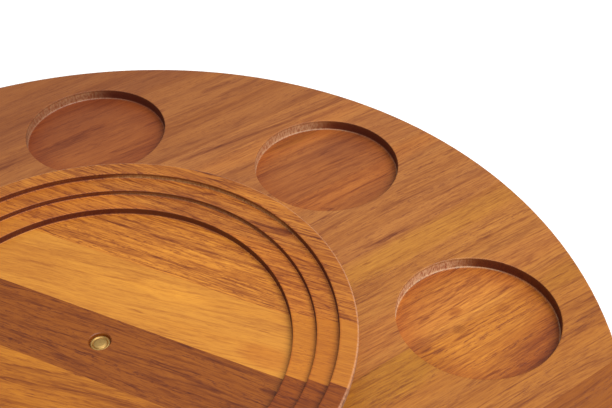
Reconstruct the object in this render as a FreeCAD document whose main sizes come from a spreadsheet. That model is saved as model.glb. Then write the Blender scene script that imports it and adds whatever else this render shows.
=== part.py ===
import FreeCAD, Part
import math
import os

import Sketcher
from FreeCAD import Placement, Rotation, Vector

# A two-tier revolving serving tray in teak.
#
# Frame: millimetres, +Z up, origin on the floor under the centre of the tray.
# Both spinning axes are the Z axis.  One of the round recesses lies on +X.
#
#   base      wooden disc on four rubber bumpers, lower ring of the ball swivel
#   cage      the balls of the swivel and the ring that spaces them
#   tray      eight staves, upper ring of the swivel, pivot pin
#   platter   seven staves and the brass bushing that turns on the pin

doc = FreeCAD.newDocument("revolving_tray")

# ---------------------------------------------------------------- dimensions

DIMENSIONS = [
    ("foot_height", 6.0, "rubber bumper, floor to base"),
    ("foot_wide_radius", 11.0, "bumper radius against the base"),
    ("foot_narrow_radius", 9.5, "bumper radius on the floor"),
    ("foot_pitch", 90.0, "bumper centres from the axis"),
    ("foot_pocket_radius", 4.8, "pocket for the screw head in the bumper"),
    ("foot_pocket_depth", 3.2, "depth of that pocket"),
    ("base_radius", 110.0, "wooden base disc"),
    ("base_thick", 14.0, "thickness of the base disc"),
    ("base_round", 4.0, "rounding of the base disc's edge"),
    ("access_radius", 8.0, "screwdriver hole through the base"),
    ("plate_thick", 1.2, "sheet thickness of both swivel rings"),
    ("ball_radius", 2.38, "3/16 inch balls"),
    ("ball_pitch", 50.0, "ball circle radius"),
    ("race_gap", 0.12, "race radius less ball radius"),
    ("lower_ring_radius", 76.0, "outside of the lower swivel ring"),
    ("upper_ring_radius", 27.0, "inside of the upper swivel ring"),
    ("lower_lip_angle", 165.0, "where the lower race ends, degrees"),
    ("upper_lip_angle", -15.0, "where the upper race ends, degrees"),
    ("cage_half_width", 3.2, "half width of the ball cage's strip"),
    ("cage_half_thick", 0.4, "half thickness of the strip"),
    ("cage_slope", 145.0, "direction of the strip, degrees"),
    ("pocket_gap", 0.08, "cage pocket radius less ball radius"),
    ("lower_screw_pitch", 67.0, "screws of the lower ring"),
    ("upper_screw_pitch", 36.0, "screws of the upper ring"),
    ("screw_radius", 1.75, "wood screw shank"),
    ("screw_head_radius", 3.5, "wood screw head"),
    ("screw_head_high", 1.8, "wood screw head height"),
    ("screw_gap", 0.08, "clearance round a screw shank"),
    ("tray_radius", 230.0, "large disc"),
    ("tray_thick", 20.0, "thickness of the large disc"),
    ("tray_top_round", 1.3, "top edge of the rim"),
    ("tray_foot_round", 3.0, "bottom edge of the rim"),
    ("tray_grain", 117.7, "direction of the staves, degrees from +X"),
    ("tray_cut_a", -164.7, "glue lines, measured across the grain"),
    ("tray_cut_b", -104.5, "glue line"),
    ("tray_cut_c", -44.3, "glue line"),
    ("tray_cut_d", 15.9, "glue line"),
    ("tray_cut_e", 76.1, "glue line"),
    ("tray_cut_f", 136.3, "glue line"),
    ("tray_cut_g", 196.5, "glue line"),
    ("slab_reach", 240.0, "half size of the cutting slabs"),
    ("recess_radius", 38.4, "round recesses"),
    ("recess_depth", 5.9, "their depth"),
    ("recess_pitch", 172.1, "their centres from the axis"),
    ("recess_lip", 0.5, "rounding of their upper edge"),
    ("recess_corner", 0.9, "rounding at their floor"),
    ("platter_radius", 113.3, "raised disc"),
    ("platter_gap", 3.5, "air under the raised disc"),
    ("platter_rise", 22.1, "top of the raised disc over the tray's top"),
    ("platter_round", 1.0, "top edge of its rim"),
    ("platter_belly_start", 84.0, "flat underside ends here"),
    ("platter_belly_radius", 35.6, "curve from the underside to the rim"),
    ("step_one_radius", 104.9, "first step down"),
    ("step_two_radius", 95.0, "second step down"),
    ("step_three_radius", 84.5, "third step down"),
    ("step_one_depth", 3.0, "depth of the first step"),
    ("step_two_depth", 2.6, "depth of the second step"),
    ("step_three_depth", 3.5, "depth of the third step"),
    ("step_lip", 0.45, "rounding of the steps' upper edges"),
    ("step_corner", 0.6, "rounding at the foot of the steps"),
    ("platter_grain", 56.0, "direction of the platter's staves"),
    ("platter_cut_a", -83.0, "glue lines, measured across the grain"),
    ("platter_cut_b", -48.5, "glue line"),
    ("platter_cut_c", -14.0, "glue line"),
    ("platter_cut_d", 20.0, "glue line"),
    ("platter_cut_e", 54.0, "glue line"),
    ("platter_cut_f", 88.0, "glue line"),
    ("pin_radius", 2.5, "pivot pin shank"),
    ("pin_head_radius", 3.2, "pivot pin head"),
    ("pin_fit", 0.05, "running clearance of the pin in the bushing"),
    ("pin_hole_gap", 0.1, "clearance of the pin in the tray"),
    ("bush_radius", 4.4, "bushing sleeve"),
    ("bush_flange_radius", 13.0, "bushing flange under the platter"),
    ("bush_sunk", 1.2, "bushing end below the platter's floor"),
    ("bush_hole_gap", 0.05, "clearance of the sleeve in the wood"),
    ("mouth_radius", 4.9, "wider mouth of the sleeve's hole"),
    ("mouth_depth", 2.0, "depth of the mouth"),
    ("washer_radius", 17.0, "thrust washer"),
    ("washer_thick", 1.0, "thrust washer"),
    ("washer_gap", 0.1, "running gap over the thrust washer"),
    ("nut_pocket_radius", 12.0, "counterbore under the tray"),
    ("nut_pocket_depth", 7.2, "depth of the counterbore"),
    ("nut_flats", 8.0, "pin nut across flats"),
    ("nut_high", 4.0, "pin nut height"),
    ("pin_washer_radius", 9.0, "washer under the nut"),
    ("pin_washer_thick", 1.2, "washer under the nut"),
]

sheet = doc.addObject("Spreadsheet::Sheet", "dims")
for row, (alias, value, note) in enumerate(DIMENSIONS, start=1):
    sheet.set("A%d" % row, alias)
    sheet.set("B%d" % row, "%g" % value)
    sheet.set("C%d" % row, note)
    sheet.setAlias("B%d" % row, alias)
doc.recompute()


class Size:
    """A length that is known both as a number and as a formula over the sheet."""

    def __init__(self, text, value):
        self.text = text
        self.value = float(value)

    def __add__(self, other):
        other = size(other)
        return Size("(%s + %s)" % (self.text, other.text), self.value + other.value)

    def __radd__(self, other):
        return size(other) + self

    def __sub__(self, other):
        other = size(other)
        return Size("(%s - %s)" % (self.text, other.text), self.value - other.value)

    def __rsub__(self, other):
        return size(other) - self

    def __mul__(self, other):
        other = size(other)
        return Size("(%s * %s)" % (self.text, other.text), self.value * other.value)

    def __rmul__(self, other):
        return size(other) * self

    def __truediv__(self, other):
        other = size(other)
        return Size("(%s / %s)" % (self.text, other.text), self.value / other.value)

    def __neg__(self):
        return Size("(0 - %s)" % self.text, -self.value)


def size(value):
    if isinstance(value, Size):
        return value
    return Size("(%.10g)" % value if value < 0 else "%.10g" % value, value)


def cosd(angle):
    angle = size(angle)
    return Size("cos(%s)" % angle.text, math.cos(math.radians(angle.value)))


def sind(angle):
    angle = size(angle)
    return Size("sin(%s)" % angle.text, math.sin(math.radians(angle.value)))


D = {alias: Size("dims.%s" % alias, value) for alias, value, _ in DIMENSIONS}

# Levels above the floor.
race_radius = D["ball_radius"] + D["race_gap"]
race_back = race_radius + D["plate_thick"]
base_bottom = D["foot_height"]
base_top = base_bottom + D["base_thick"]
ball_level = base_top + race_back
tray_bottom = ball_level + race_back
tray_top = tray_bottom + D["tray_thick"]
recess_floor = tray_top - D["recess_depth"]
platter_bottom = tray_top + D["platter_gap"]
platter_top = tray_top + D["platter_rise"]
step_one = platter_top - D["step_one_depth"]
step_two = step_one - D["step_two_depth"]
platter_floor = step_two - D["step_three_depth"]
bush_end = platter_floor - D["bush_sunk"]


def bind(thing, prop, value):
    """Give a property its number and tie it to the sheet."""
    value = size(value)
    if "." not in prop:
        setattr(thing, prop, value.value)
    thing.setExpression(prop, value.text)


def place(thing, x, y, z):
    for axis, value in (("x", x), ("y", y), ("z", z)):
        thing.setExpression("Placement.Base.%s" % axis, size(value).text)


# ------------------------------------------------------------------ sketches

def origin_feature(body, role):
    for feature in body.Origin.OriginFeatures:
        if feature.Role == role:
            return feature
    raise RuntimeError("no %s in %s" % (role, body.Label))


def new_body(name):
    body = doc.addObject("PartDesign::Body", name)
    body.Label = name
    doc.recompute()
    return body


def new_sketch(body, name, role, level=None):
    sketch = body.newObject("Sketcher::SketchObject", name)
    sketch.AttachmentSupport = (origin_feature(body, role), [""])
    sketch.MapMode = "FlatFace"
    if level is not None:
        sketch.AttachmentOffset = Placement(Vector(0, 0, level.value), Rotation())
        sketch.setExpression("AttachmentOffset.Base.z", level.text)
    return sketch


def pin_point(sketch, geo, pos, x, y, tag, keep="xy"):
    """Fix a point of the sketch at x, y with constraints bound to the sheet."""
    for letter, value, kind, axis in (
        ("x", size(x), "DistanceX", -2),
        ("y", size(y), "DistanceY", -1),
    ):
        if letter not in keep:
            continue
        if abs(value.value) < 1e-9:
            sketch.addConstraint(Sketcher.Constraint("PointOnObject", geo, pos, axis))
            continue
        if value.value > 0:
            index = sketch.addConstraint(
                Sketcher.Constraint(kind, -1, 1, geo, pos, value.value)
            )
            text = value.text
        else:
            index = sketch.addConstraint(
                Sketcher.Constraint(kind, geo, pos, -1, 1, -value.value)
            )
            text = (-value).text
        name = "%s_%s" % (tag, letter)
        sketch.renameConstraint(index, name)
        sketch.setExpression("Constraints.%s" % name, text)


def outline(sketch, points, arcs=None):
    """A closed outline.  arcs maps the index of an edge to its arc's centre and
    whether it runs anticlockwise; every other edge is straight."""
    arcs = arcs or {}
    count = len(points)
    ends = []
    loose = {}
    for i in range(count):
        ax, ay = size(points[i][0]), size(points[i][1])
        bx, by = size(points[(i + 1) % count][0]), size(points[(i + 1) % count][1])
        if i not in arcs:
            geo = sketch.addGeometry(
                Part.LineSegment(
                    Vector(ax.value, ay.value, 0), Vector(bx.value, by.value, 0)
                )
            )
            ends.append(((geo, 1), (geo, 2)))
            continue
        cx, cy, anticlockwise = size(arcs[i][0]), size(arcs[i][1]), arcs[i][2]
        radius = math.hypot(ax.value - cx.value, ay.value - cy.value)
        first = math.atan2(ay.value - cy.value, ax.value - cx.value)
        last = math.atan2(by.value - cy.value, bx.value - cx.value)
        start, stop = (first, last) if anticlockwise else (last, first)
        if stop < start:
            stop += 2 * math.pi
        geo = sketch.addGeometry(
            Part.ArcOfCircle(
                Part.Circle(Vector(cx.value, cy.value, 0), Vector(0, 0, 1), radius),
                start,
                stop,
            )
        )
        ends.append(((geo, 1), (geo, 2)) if anticlockwise else ((geo, 2), (geo, 1)))
        pin_point(sketch, geo, 3, cx, cy, "c%d" % i)
        # The arc's own radius settles one coordinate of its far end.
        loose[(i + 1) % count] = "x" if abs(math.sin(last)) >= abs(math.cos(last)) else "y"
    for i in range(count):
        (geo, pos), (before_geo, before_pos) = ends[i][0], ends[i - 1][1]
        sketch.addConstraint(
            Sketcher.Constraint("Coincident", before_geo, before_pos, geo, pos)
        )
        pin_point(
            sketch, geo, pos, points[i][0], points[i][1], "p%d" % i, loose.get(i, "xy")
        )


def eased(steps, facets=3):
    """Turn corners into outline points.  Each step is x, y and, for an eased
    corner of two edges along the axes, a radius with the directions in which
    the outline arrives and leaves; the corner becomes that many flats, which
    turn into cones that stay sound where the glue lines cut them."""
    points = []
    for step in steps:
        x, y = size(step[0]), size(step[1])
        if len(step) == 2:
            points.append((x, y))
            continue
        radius, came, leaves = size(step[2]), step[3], step[4]
        flats = step[5] if len(step) > 5 else facets
        for k in range(flats + 1):
            turn = math.radians(90.0 * k / flats)
            back, on = round(1 - math.sin(turn), 9), round(1 - math.cos(turn), 9)
            spot = []
            for start, i, o in ((x, came[0], leaves[0]), (y, came[1], leaves[1])):
                shift = o * on - i * back
                spot.append(start + radius * shift if shift > 0 else
                            start - radius * -shift if shift < 0 else start)
            points.append((spot[0], spot[1]))
    return points


RIGHT, LEFT, UP, DOWN = (1, 0), (-1, 0), (0, 1), (0, -1)


def turned_body(name, points, arcs=None):
    """A piece turned about the Z axis from an outline of radius and height."""
    body = new_body(name)
    sketch = new_sketch(body, name + "_outline", "XZ_Plane")
    outline(sketch, points, arcs)
    turn = body.newObject("PartDesign::Revolution", name + "_turned")
    turn.Profile = sketch
    turn.ReferenceAxis = (sketch, ["V_Axis"])
    turn.Angle = 360.0
    body.Tip = turn
    doc.recompute()
    return body


def drill(body, name, level, holes, depth, upwards=False):
    """Blind round holes: a pocket from a horizontal sketch at a level."""
    before = body.Shape.Volume
    sketch = new_sketch(body, name + "_plan", "XY_Plane", level)
    for i, (x, y, radius) in enumerate(holes):
        x, y, radius = size(x), size(y), size(radius)
        geo = sketch.addGeometry(
            Part.Circle(Vector(x.value, y.value, 0), Vector(0, 0, 1), radius.value)
        )
        pin_point(sketch, geo, 3, x, y, "hole%d" % i)
        index = sketch.addConstraint(Sketcher.Constraint("Radius", geo, radius.value))
        sketch.renameConstraint(index, "hole%d_r" % i)
        sketch.setExpression("Constraints.hole%d_r" % i, radius.text)
    doc.recompute()
    pocket = body.newObject("PartDesign::Pocket", name)
    pocket.Profile = sketch
    pocket.Reversed = bool(upwards)
    bind(pocket, "Length", depth)
    body.Tip = pocket
    doc.recompute()
    if not body.Shape.Volume < before - 1e-3:
        raise RuntimeError("%s cut nothing" % name)
    return pocket


def around(count, first, pitch):
    """Centres of count places on a circle, the first at an angle in degrees."""
    first = size(first)
    return [
        (
            pitch * cosd(first + 360.0 * i / count),
            pitch * sind(first + 360.0 * i / count),
        )
        for i in range(count)
    ]


def snap(value):
    """A coordinate that is zero by symmetry is an exact zero."""
    return size(0) if abs(value.value) < 1e-9 else value


def cylinder(name, x, y, z, radius, height):
    thing = doc.addObject("Part::Cylinder", name)
    bind(thing, "Radius", radius)
    bind(thing, "Height", height)
    place(thing, x, y, z)
    return thing


def cone(name, x, y, z, low_radius, high_radius, height):
    thing = doc.addObject("Part::Cone", name)
    bind(thing, "Radius1", low_radius)
    bind(thing, "Radius2", high_radius)
    bind(thing, "Height", height)
    place(thing, x, y, z)
    return thing


def box(name, x, y, z, length, width, height):
    thing = doc.addObject("Part::Box", name)
    bind(thing, "Length", length)
    bind(thing, "Width", width)
    bind(thing, "Height", height)
    place(thing, x, y, z)
    return thing


def fuse(name, things):
    thing = doc.addObject("Part::MultiFuse", name)
    thing.Shapes = things
    return thing


def cut(name, base, tool):
    thing = doc.addObject("Part::Cut", name)
    thing.Base = base
    thing.Tool = tool
    return thing


def group(name, things):
    thing = doc.addObject("Part::Compound", name)
    thing.Links = things
    thing.Label = name
    return thing


NODES = []


def node(thing, name):
    thing.Label = name
    NODES.append(thing)
    return thing


# ------------------------------------------------------------- wood screws

def wood_screws(name, places, seat, length, pointing):
    """Pan-head wood screws with a cross recess.  seat is the level that the
    head bears on; pointing is +1 for a screw driven upwards."""
    screws = []
    for i, (x, y) in enumerate(places):
        tag = "%s_%d" % (name, i + 1)
        head_half = D["screw_head_high"] / 2
        shank = length - D["screw_radius"] * 2
        slot = D["screw_head_radius"] * 0.62
        wide = size(0.8)
        deep = D["screw_head_high"] * 0.6
        if pointing > 0:
            parts = [
                cylinder(tag + "_rim", x, y, seat - head_half, D["screw_head_radius"], head_half),
                cone(tag + "_crown", x, y, seat - D["screw_head_high"],
                     D["screw_head_radius"] * 0.72, D["screw_head_radius"], head_half),
                cylinder(tag + "_shank", x, y, seat, D["screw_radius"], shank),
                cone(tag + "_tip", x, y, seat + shank, D["screw_radius"], size(0.3),
                     D["screw_radius"] * 2),
            ]
            low = seat - D["screw_head_high"] - 0.1
        else:
            parts = [
                cylinder(tag + "_rim", x, y, seat, D["screw_head_radius"], head_half),
                cone(tag + "_crown", x, y, seat + head_half, D["screw_head_radius"],
                     D["screw_head_radius"] * 0.72, head_half),
                cylinder(tag + "_shank", x, y, seat - shank, D["screw_radius"], shank),
                cone(tag + "_tip", x, y, seat - length, size(0.3), D["screw_radius"],
                     D["screw_radius"] * 2),
            ]
            low = seat + D["screw_head_high"] - deep
        cross = fuse(tag + "_cross", [
            box(tag + "_slot_a", x - slot, y - wide / 2, low, slot * 2, wide, deep + 0.1),
            box(tag + "_slot_b", x - wide / 2, y - slot, low, wide, slot * 2, deep + 0.1),
        ])
        screws.append(cut(tag, fuse(tag + "_blank", parts), cross))
    return node(group(name, screws), name)


foot_places = around(4, 45, D["foot_pitch"])
lower_places = [(snap(x), snap(y)) for x, y in around(4, 0, D["lower_screw_pitch"])]
upper_places = around(4, D["tray_grain"] + 45, D["upper_screw_pitch"])

# --------------------------------------------------------------------- base

feet = []
for i, (x, y) in enumerate(foot_places):
    tag = "foot_%d" % (i + 1)
    hollow = fuse(tag + "_hollow", [
        cylinder(tag + "_pocket", x, y, size(-1), D["foot_pocket_radius"],
                 D["foot_pocket_depth"] + 1),
        cylinder(tag + "_hole", x, y, size(0), D["screw_radius"] + D["screw_gap"],
                 D["foot_height"] + 1),
    ])
    body = fuse(tag + "_body", [
        cone(tag + "_skirt", x, y, size(0.8), D["foot_narrow_radius"],
             D["foot_wide_radius"], D["foot_height"] - 0.8),
        cone(tag + "_sole", x, y, size(0), D["foot_narrow_radius"] - 0.8,
             D["foot_narrow_radius"], size(0.8)),
    ])
    feet.append(cut(tag, body, hollow))
node(group("foot_bumpers", feet), "foot_bumpers")

wood_screws("foot_screws", foot_places, D["foot_pocket_depth"], size(12), 1)

base_disc = turned_body("base_disc", eased([
    (0, base_bottom),
    (D["base_radius"], base_bottom, D["base_round"], RIGHT, UP, 5),
    (D["base_radius"], base_top, D["base_round"] / 2, UP, LEFT),
    (0, base_top),
]))
drill(base_disc, "foot_screw_holes", base_bottom,
      [(x, y, D["screw_radius"] + D["screw_gap"]) for x, y in foot_places],
      size(9.4), upwards=True)
drill(base_disc, "ring_screw_holes", base_top,
      [(x, y, D["screw_radius"] + D["screw_gap"]) for x, y in lower_places],
      size(11))
drill(base_disc, "access_hole", base_top,
      [(upper_places[0][0], upper_places[0][1], D["access_radius"])],
      D["base_thick"] + 1)
node(base_disc, "base_disc")

# ------------------------------------------------------------- ball swivel
# Two stamped rings whose rolled edges close round the balls from opposite
# sides, so that neither ring can lift off the other.

lip = D["lower_lip_angle"]
lower_points = [
    (D["ball_pitch"], ball_level - race_back),
    (D["lower_ring_radius"], ball_level - race_back),
    (D["lower_ring_radius"], ball_level - race_radius),
    (D["ball_pitch"], ball_level - race_radius),
    (D["ball_pitch"] + race_radius * cosd(lip), ball_level + race_radius * sind(lip)),
    (D["ball_pitch"] + race_back * cosd(lip), ball_level + race_back * sind(lip)),
]
swivel_lower_plate = turned_body(
    "swivel_lower_plate", lower_points,
    {3: (D["ball_pitch"], ball_level, False), 5: (D["ball_pitch"], ball_level, True)},
)
drill(swivel_lower_plate, "lower_ring_holes", ball_level,
      [(x, y, D["screw_radius"] + D["screw_gap"]) for x, y in lower_places],
      race_back + 1)
node(swivel_lower_plate, "swivel_lower_plate")

lip = D["upper_lip_angle"]
upper_points = [
    (D["ball_pitch"], ball_level + race_back),
    (D["upper_ring_radius"], ball_level + race_back),
    (D["upper_ring_radius"], ball_level + race_radius),
    (D["ball_pitch"], ball_level + race_radius),
    (D["ball_pitch"] + race_radius * cosd(lip), ball_level + race_radius * sind(lip)),
    (D["ball_pitch"] + race_back * cosd(lip), ball_level + race_back * sind(lip)),
]
swivel_upper_plate = turned_body(
    "swivel_upper_plate", upper_points,
    {3: (D["ball_pitch"], ball_level, False), 5: (D["ball_pitch"], ball_level, True)},
)
drill(swivel_upper_plate, "upper_ring_holes", ball_level,
      [(x, y, D["screw_radius"] + D["screw_gap"]) for x, y in upper_places],
      race_back + 1, upwards=True)
node(swivel_upper_plate, "swivel_upper_plate")

wood_screws("swivel_lower_screws", lower_places, ball_level - race_radius, size(11), -1)
wood_screws("swivel_upper_screws", upper_places, ball_level + race_radius, size(12), 1)

BALLS = 24
ball_places = [(snap(x), snap(y)) for x, y in around(BALLS, 7.5, D["ball_pitch"])]
balls, pockets = [], []
for i, (x, y) in enumerate(ball_places):
    ball = doc.addObject("Part::Sphere", "ball_%d" % (i + 1))
    bind(ball, "Radius", D["ball_radius"])
    place(ball, x, y, ball_level)
    balls.append(ball)
    pocket = doc.addObject("Part::Sphere", "pocket_%d" % (i + 1))
    bind(pocket, "Radius", D["ball_radius"] + D["pocket_gap"])
    place(pocket, x, y, ball_level)
    pockets.append(pocket)
node(group("bearing_balls", balls), "bearing_balls")

# The cage is a thin cone that passes between the two races.
slope = D["cage_slope"]
along = (D["cage_half_width"] * cosd(slope), D["cage_half_width"] * sind(slope))
across = (D["cage_half_thick"] * sind(slope), D["cage_half_thick"] * cosd(slope))
cage_points = []
for a, b in ((1, 1), (1, -1), (-1, -1), (-1, 1)):
    x = D["ball_pitch"] + (along[0] if a > 0 else -along[0])
    z = ball_level + (along[1] if a > 0 else -along[1])
    x = x + across[0] if b > 0 else x - across[0]
    z = z - across[1] if b > 0 else z + across[1]
    cage_points.append((x, z))
cage_strip = turned_body("cage_strip", cage_points)
bearing_cage = cut("bearing_cage", cage_strip, group("ball_pockets", pockets))
node(bearing_cage, "bearing_cage")

# --------------------------------------------------------------------- tray

tray_blank = turned_body("tray_blank", eased([
    (D["nut_pocket_radius"], tray_bottom),
    (D["tray_radius"], tray_bottom, D["tray_foot_round"], RIGHT, UP, 4),
    (D["tray_radius"], tray_top, D["tray_top_round"], UP, LEFT),
    (D["pin_radius"] + D["pin_hole_gap"], tray_top),
    (D["pin_radius"] + D["pin_hole_gap"], tray_bottom + D["nut_pocket_depth"]),
    (D["nut_pocket_radius"], tray_bottom + D["nut_pocket_depth"]),
]))
drill(tray_blank, "tray_screw_holes", tray_bottom,
      [(x, y, D["screw_radius"] + D["screw_gap"]) for x, y in upper_places],
      size(11.4), upwards=True)

# One recess is turned about its own upright axis, then repeated round the tray.
before = tray_blank.Shape.Volume
recess_sketch = new_sketch(tray_blank, "recess_outline", "XZ_Plane")
edge = D["recess_pitch"] + D["recess_radius"]
outline(recess_sketch, eased([
    (D["recess_pitch"], tray_top + 1),
    (D["recess_pitch"], recess_floor),
    (edge, recess_floor, D["recess_corner"], RIGHT, UP),
    (edge, tray_top, D["recess_lip"], UP, RIGHT, 2),
    (edge + D["recess_lip"], tray_top + 1),
]))
axis_line = recess_sketch.addGeometry(
    Part.LineSegment(
        Vector(D["recess_pitch"].value, recess_floor.value - 5, 0),
        Vector(D["recess_pitch"].value, tray_top.value + 5, 0),
    ),
    True,
)
pin_point(recess_sketch, axis_line, 1, D["recess_pitch"], recess_floor - 5, "axis_a")
pin_point(recess_sketch, axis_line, 2, D["recess_pitch"], tray_top + 5, "axis_b")
doc.recompute()
recess = tray_blank.newObject("PartDesign::Groove", "recess")
recess.Profile = recess_sketch
recess.ReferenceAxis = (recess_sketch, ["Axis0"])
recess.Angle = 360.0
tray_blank.Tip = recess
doc.recompute()
one_recess = before - tray_blank.Shape.Volume
ring = tray_blank.newObject("PartDesign::PolarPattern", "recess_ring")
ring.Originals = [recess]
ring.Axis = (origin_feature(tray_blank, "Z_Axis"), [""])
ring.Angle = 360.0
ring.Occurrences = 8
tray_blank.Tip = ring
doc.recompute()
all_recesses = before - tray_blank.Shape.Volume
if one_recess < 20000 or abs(all_recesses - 8 * one_recess) > 50:
    raise RuntimeError("recesses cut %.0f and %.0f" % (one_recess, all_recesses))


def staves(blank, prefix, grain, cuts, bottom, height):
    """Cut a glued-up blank into its boards along the glue lines."""
    reach = D["slab_reach"]
    lines = [-reach] + cuts + [reach]
    for i in range(len(lines) - 1):
        low, high = size(lines[i]), size(lines[i + 1])
        slab = doc.addObject("Part::Box", "%s_slab_%d" % (prefix, i + 1))
        bind(slab, "Length", reach * 2)
        bind(slab, "Width", high - low)
        bind(slab, "Height", height + 2)
        slab.Placement = Placement(Vector(0, 0, 0), Rotation(Vector(0, 0, 1), grain.value))
        slab.setExpression("Placement.Rotation.Angle", grain.text)
        place(slab,
              -(reach * cosd(grain)) - low * sind(grain),
              low * cosd(grain) - reach * sind(grain),
              bottom - 1)
        name = "%s_stave_%d" % (prefix, i + 1)
        stave = doc.addObject("Part::Common", name)
        stave.Base = blank
        stave.Tool = slab
        node(stave, name)


staves(tray_blank, "tray", D["tray_grain"],
       [D["tray_cut_" + k] for k in "abcdefg"], tray_bottom, D["tray_thick"])

# ------------------------------------------------------------------ platter

wall = D["bush_radius"] + D["bush_hole_gap"]
belly_centre = platter_bottom + D["platter_belly_radius"]
points = [(wall, platter_bottom)]
for turn in (0, 11, 22, 33, 44):
    points.append((
        D["platter_belly_start"] + D["platter_belly_radius"] * round(math.sin(math.radians(turn)), 9),
        belly_centre - D["platter_belly_radius"] * round(math.cos(math.radians(turn)), 9),
    ))
points += eased([
    (D["platter_radius"], belly_centre - D["platter_belly_radius"] * 0.568),
    (D["platter_radius"], platter_top, D["platter_round"], UP, LEFT),
    (D["step_one_radius"], platter_top, D["step_lip"], LEFT, DOWN, 2),
    (D["step_one_radius"], step_one, D["step_corner"], DOWN, LEFT, 2),
    (D["step_two_radius"], step_one, D["step_lip"], LEFT, DOWN, 2),
    (D["step_two_radius"], step_two, D["step_corner"], DOWN, LEFT, 2),
    (D["step_three_radius"], step_two, D["step_lip"], LEFT, DOWN, 2),
    (D["step_three_radius"], platter_floor, D["step_corner"], DOWN, LEFT, 2),
    (D["mouth_radius"] + 0.35, platter_floor),
    (D["mouth_radius"], platter_floor - 0.35),
    (D["mouth_radius"], platter_floor - D["mouth_depth"]),
    (wall, platter_floor - D["mouth_depth"]),
])
platter_blank = turned_body("platter_blank", points)
staves(platter_blank, "platter", D["platter_grain"],
       [D["platter_cut_" + k] for k in "abcdef"], platter_bottom, D["platter_rise"])

# -------------------------------------------------------------------- pivot

bore = D["pin_radius"] + D["pin_fit"]
flange_bottom = tray_top + D["washer_thick"] + D["washer_gap"]
head_start = bush_end - 1.9
head_full = bush_end - 0.9
head_bore = D["pin_head_radius"] + D["pin_fit"]
node(turned_body("platter_bushing", [
    (bore, flange_bottom),
    (D["bush_flange_radius"] - 0.4, flange_bottom),
    (D["bush_flange_radius"], flange_bottom + 0.4),
    (D["bush_flange_radius"], platter_bottom),
    (D["bush_radius"], platter_bottom),
    (D["bush_radius"], bush_end - 0.45),
    (D["bush_radius"] - 0.12, bush_end - 0.15),
    (D["bush_radius"] - 0.45, bush_end),
    (head_bore + 0.45, bush_end),
    (head_bore, bush_end - 0.5),
    (head_bore, head_full),
    (bore, head_start),
]), "platter_bushing")

# The pin goes in from above: its countersunk, domed head holds the platter
# down and its lower end takes the nut under the tray.
nut_seat = tray_bottom + D["nut_pocket_depth"] - D["pin_washer_thick"]
pin_end = nut_seat - D["nut_high"] - 0.5
dome = bush_end + 0.3
points = [
    (0, pin_end),
    (D["pin_radius"] - 0.5, pin_end),
    (D["pin_radius"], pin_end + 0.5),
    (D["pin_radius"], head_start + 0.05),
    (D["pin_head_radius"], head_full + 0.05),
    (D["pin_head_radius"], bush_end - 0.35),
    (D["pin_head_radius"] - 0.3, bush_end - 0.02),
    (D["pin_head_radius"] - 1.1, dome - 0.1),
    (0, dome),
]
node(turned_body("pivot_pin", points), "pivot_pin")

node(turned_body("thrust_washer", [
    (D["pin_radius"] + D["pin_hole_gap"], tray_top),
    (D["washer_radius"], tray_top),
    (D["washer_radius"], tray_top + D["washer_thick"] - 0.2),
    (D["washer_radius"] - 0.2, tray_top + D["washer_thick"]),
    (D["pin_radius"] + D["pin_hole_gap"], tray_top + D["washer_thick"]),
]), "thrust_washer")

node(turned_body("pin_washer", [
    (D["pin_radius"] + D["pin_hole_gap"], nut_seat),
    (D["pin_washer_radius"], nut_seat),
    (D["pin_washer_radius"], nut_seat + D["pin_washer_thick"]),
    (D["pin_radius"] + D["pin_hole_gap"], nut_seat + D["pin_washer_thick"]),
]), "pin_washer")

nut_blank = doc.addObject("Part::Prism", "nut_blank")
nut_blank.Polygon = 6
bind(nut_blank, "Circumradius", D["nut_flats"] / (2 * cosd(30)))
bind(nut_blank, "Height", D["nut_high"])
place(nut_blank, 0, 0, nut_seat - D["nut_high"])
nut_bore = cylinder("nut_bore", 0, 0, nut_seat - D["nut_high"] - 1,
                    D["pin_radius"] + 0.02, D["nut_high"] + 2)
node(cut("pin_nut", nut_blank, nut_bore), "pin_nut")

# ------------------------------------------------------------------- export

doc.recompute()
for thing in doc.Objects:
    if "Invalid" in thing.State or "Error" in thing.State:
        raise RuntimeError("%s failed: %s" % (thing.Name, thing.State))

os.makedirs("parts", exist_ok=True)
for thing in NODES:
    shape = thing.Shape
    if shape.isNull() or not shape.isValid() or not shape.Solids:
        raise RuntimeError("%s has no valid shape" % thing.Label)
for thing in NODES:
    shape = thing.Shape
    shape.exportStep("parts/%s.step" % thing.Label)
    low, high = shape.BoundBox.ZMin, shape.BoundBox.ZMax
    print("%-22s solids %2d  volume %10.1f  z %6.2f to %6.2f"
          % (thing.Label, len(shape.Solids), shape.Volume, low, high))
print("recess floor %.2f, tray top %.2f, platter floor %.2f, platter top %.2f"
      % (recess_floor.value, tray_top.value, platter_floor.value, platter_top.value))
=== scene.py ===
"""Looks for the two-tier turning tray: oiled teak boards, a brass pivot and the steel swivel below."""
import math

import bpy
from mathutils import Matrix, Vector

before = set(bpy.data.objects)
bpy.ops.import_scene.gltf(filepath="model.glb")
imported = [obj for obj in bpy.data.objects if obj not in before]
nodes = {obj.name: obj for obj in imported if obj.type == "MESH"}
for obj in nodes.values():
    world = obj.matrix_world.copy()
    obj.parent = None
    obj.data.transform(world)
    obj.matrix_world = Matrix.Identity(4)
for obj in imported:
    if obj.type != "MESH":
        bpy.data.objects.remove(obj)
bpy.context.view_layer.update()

# ------------------------------------------------------------ node writing


def linear(r, g, b):
    """0..255 screen colour to the linear values that shaders take."""
    out = []
    for c in (r, g, b):
        c /= 255.0
        out.append(c / 12.92 if c <= 0.04045 else ((c + 0.055) / 1.055) ** 2.4)
    return tuple(out)


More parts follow.
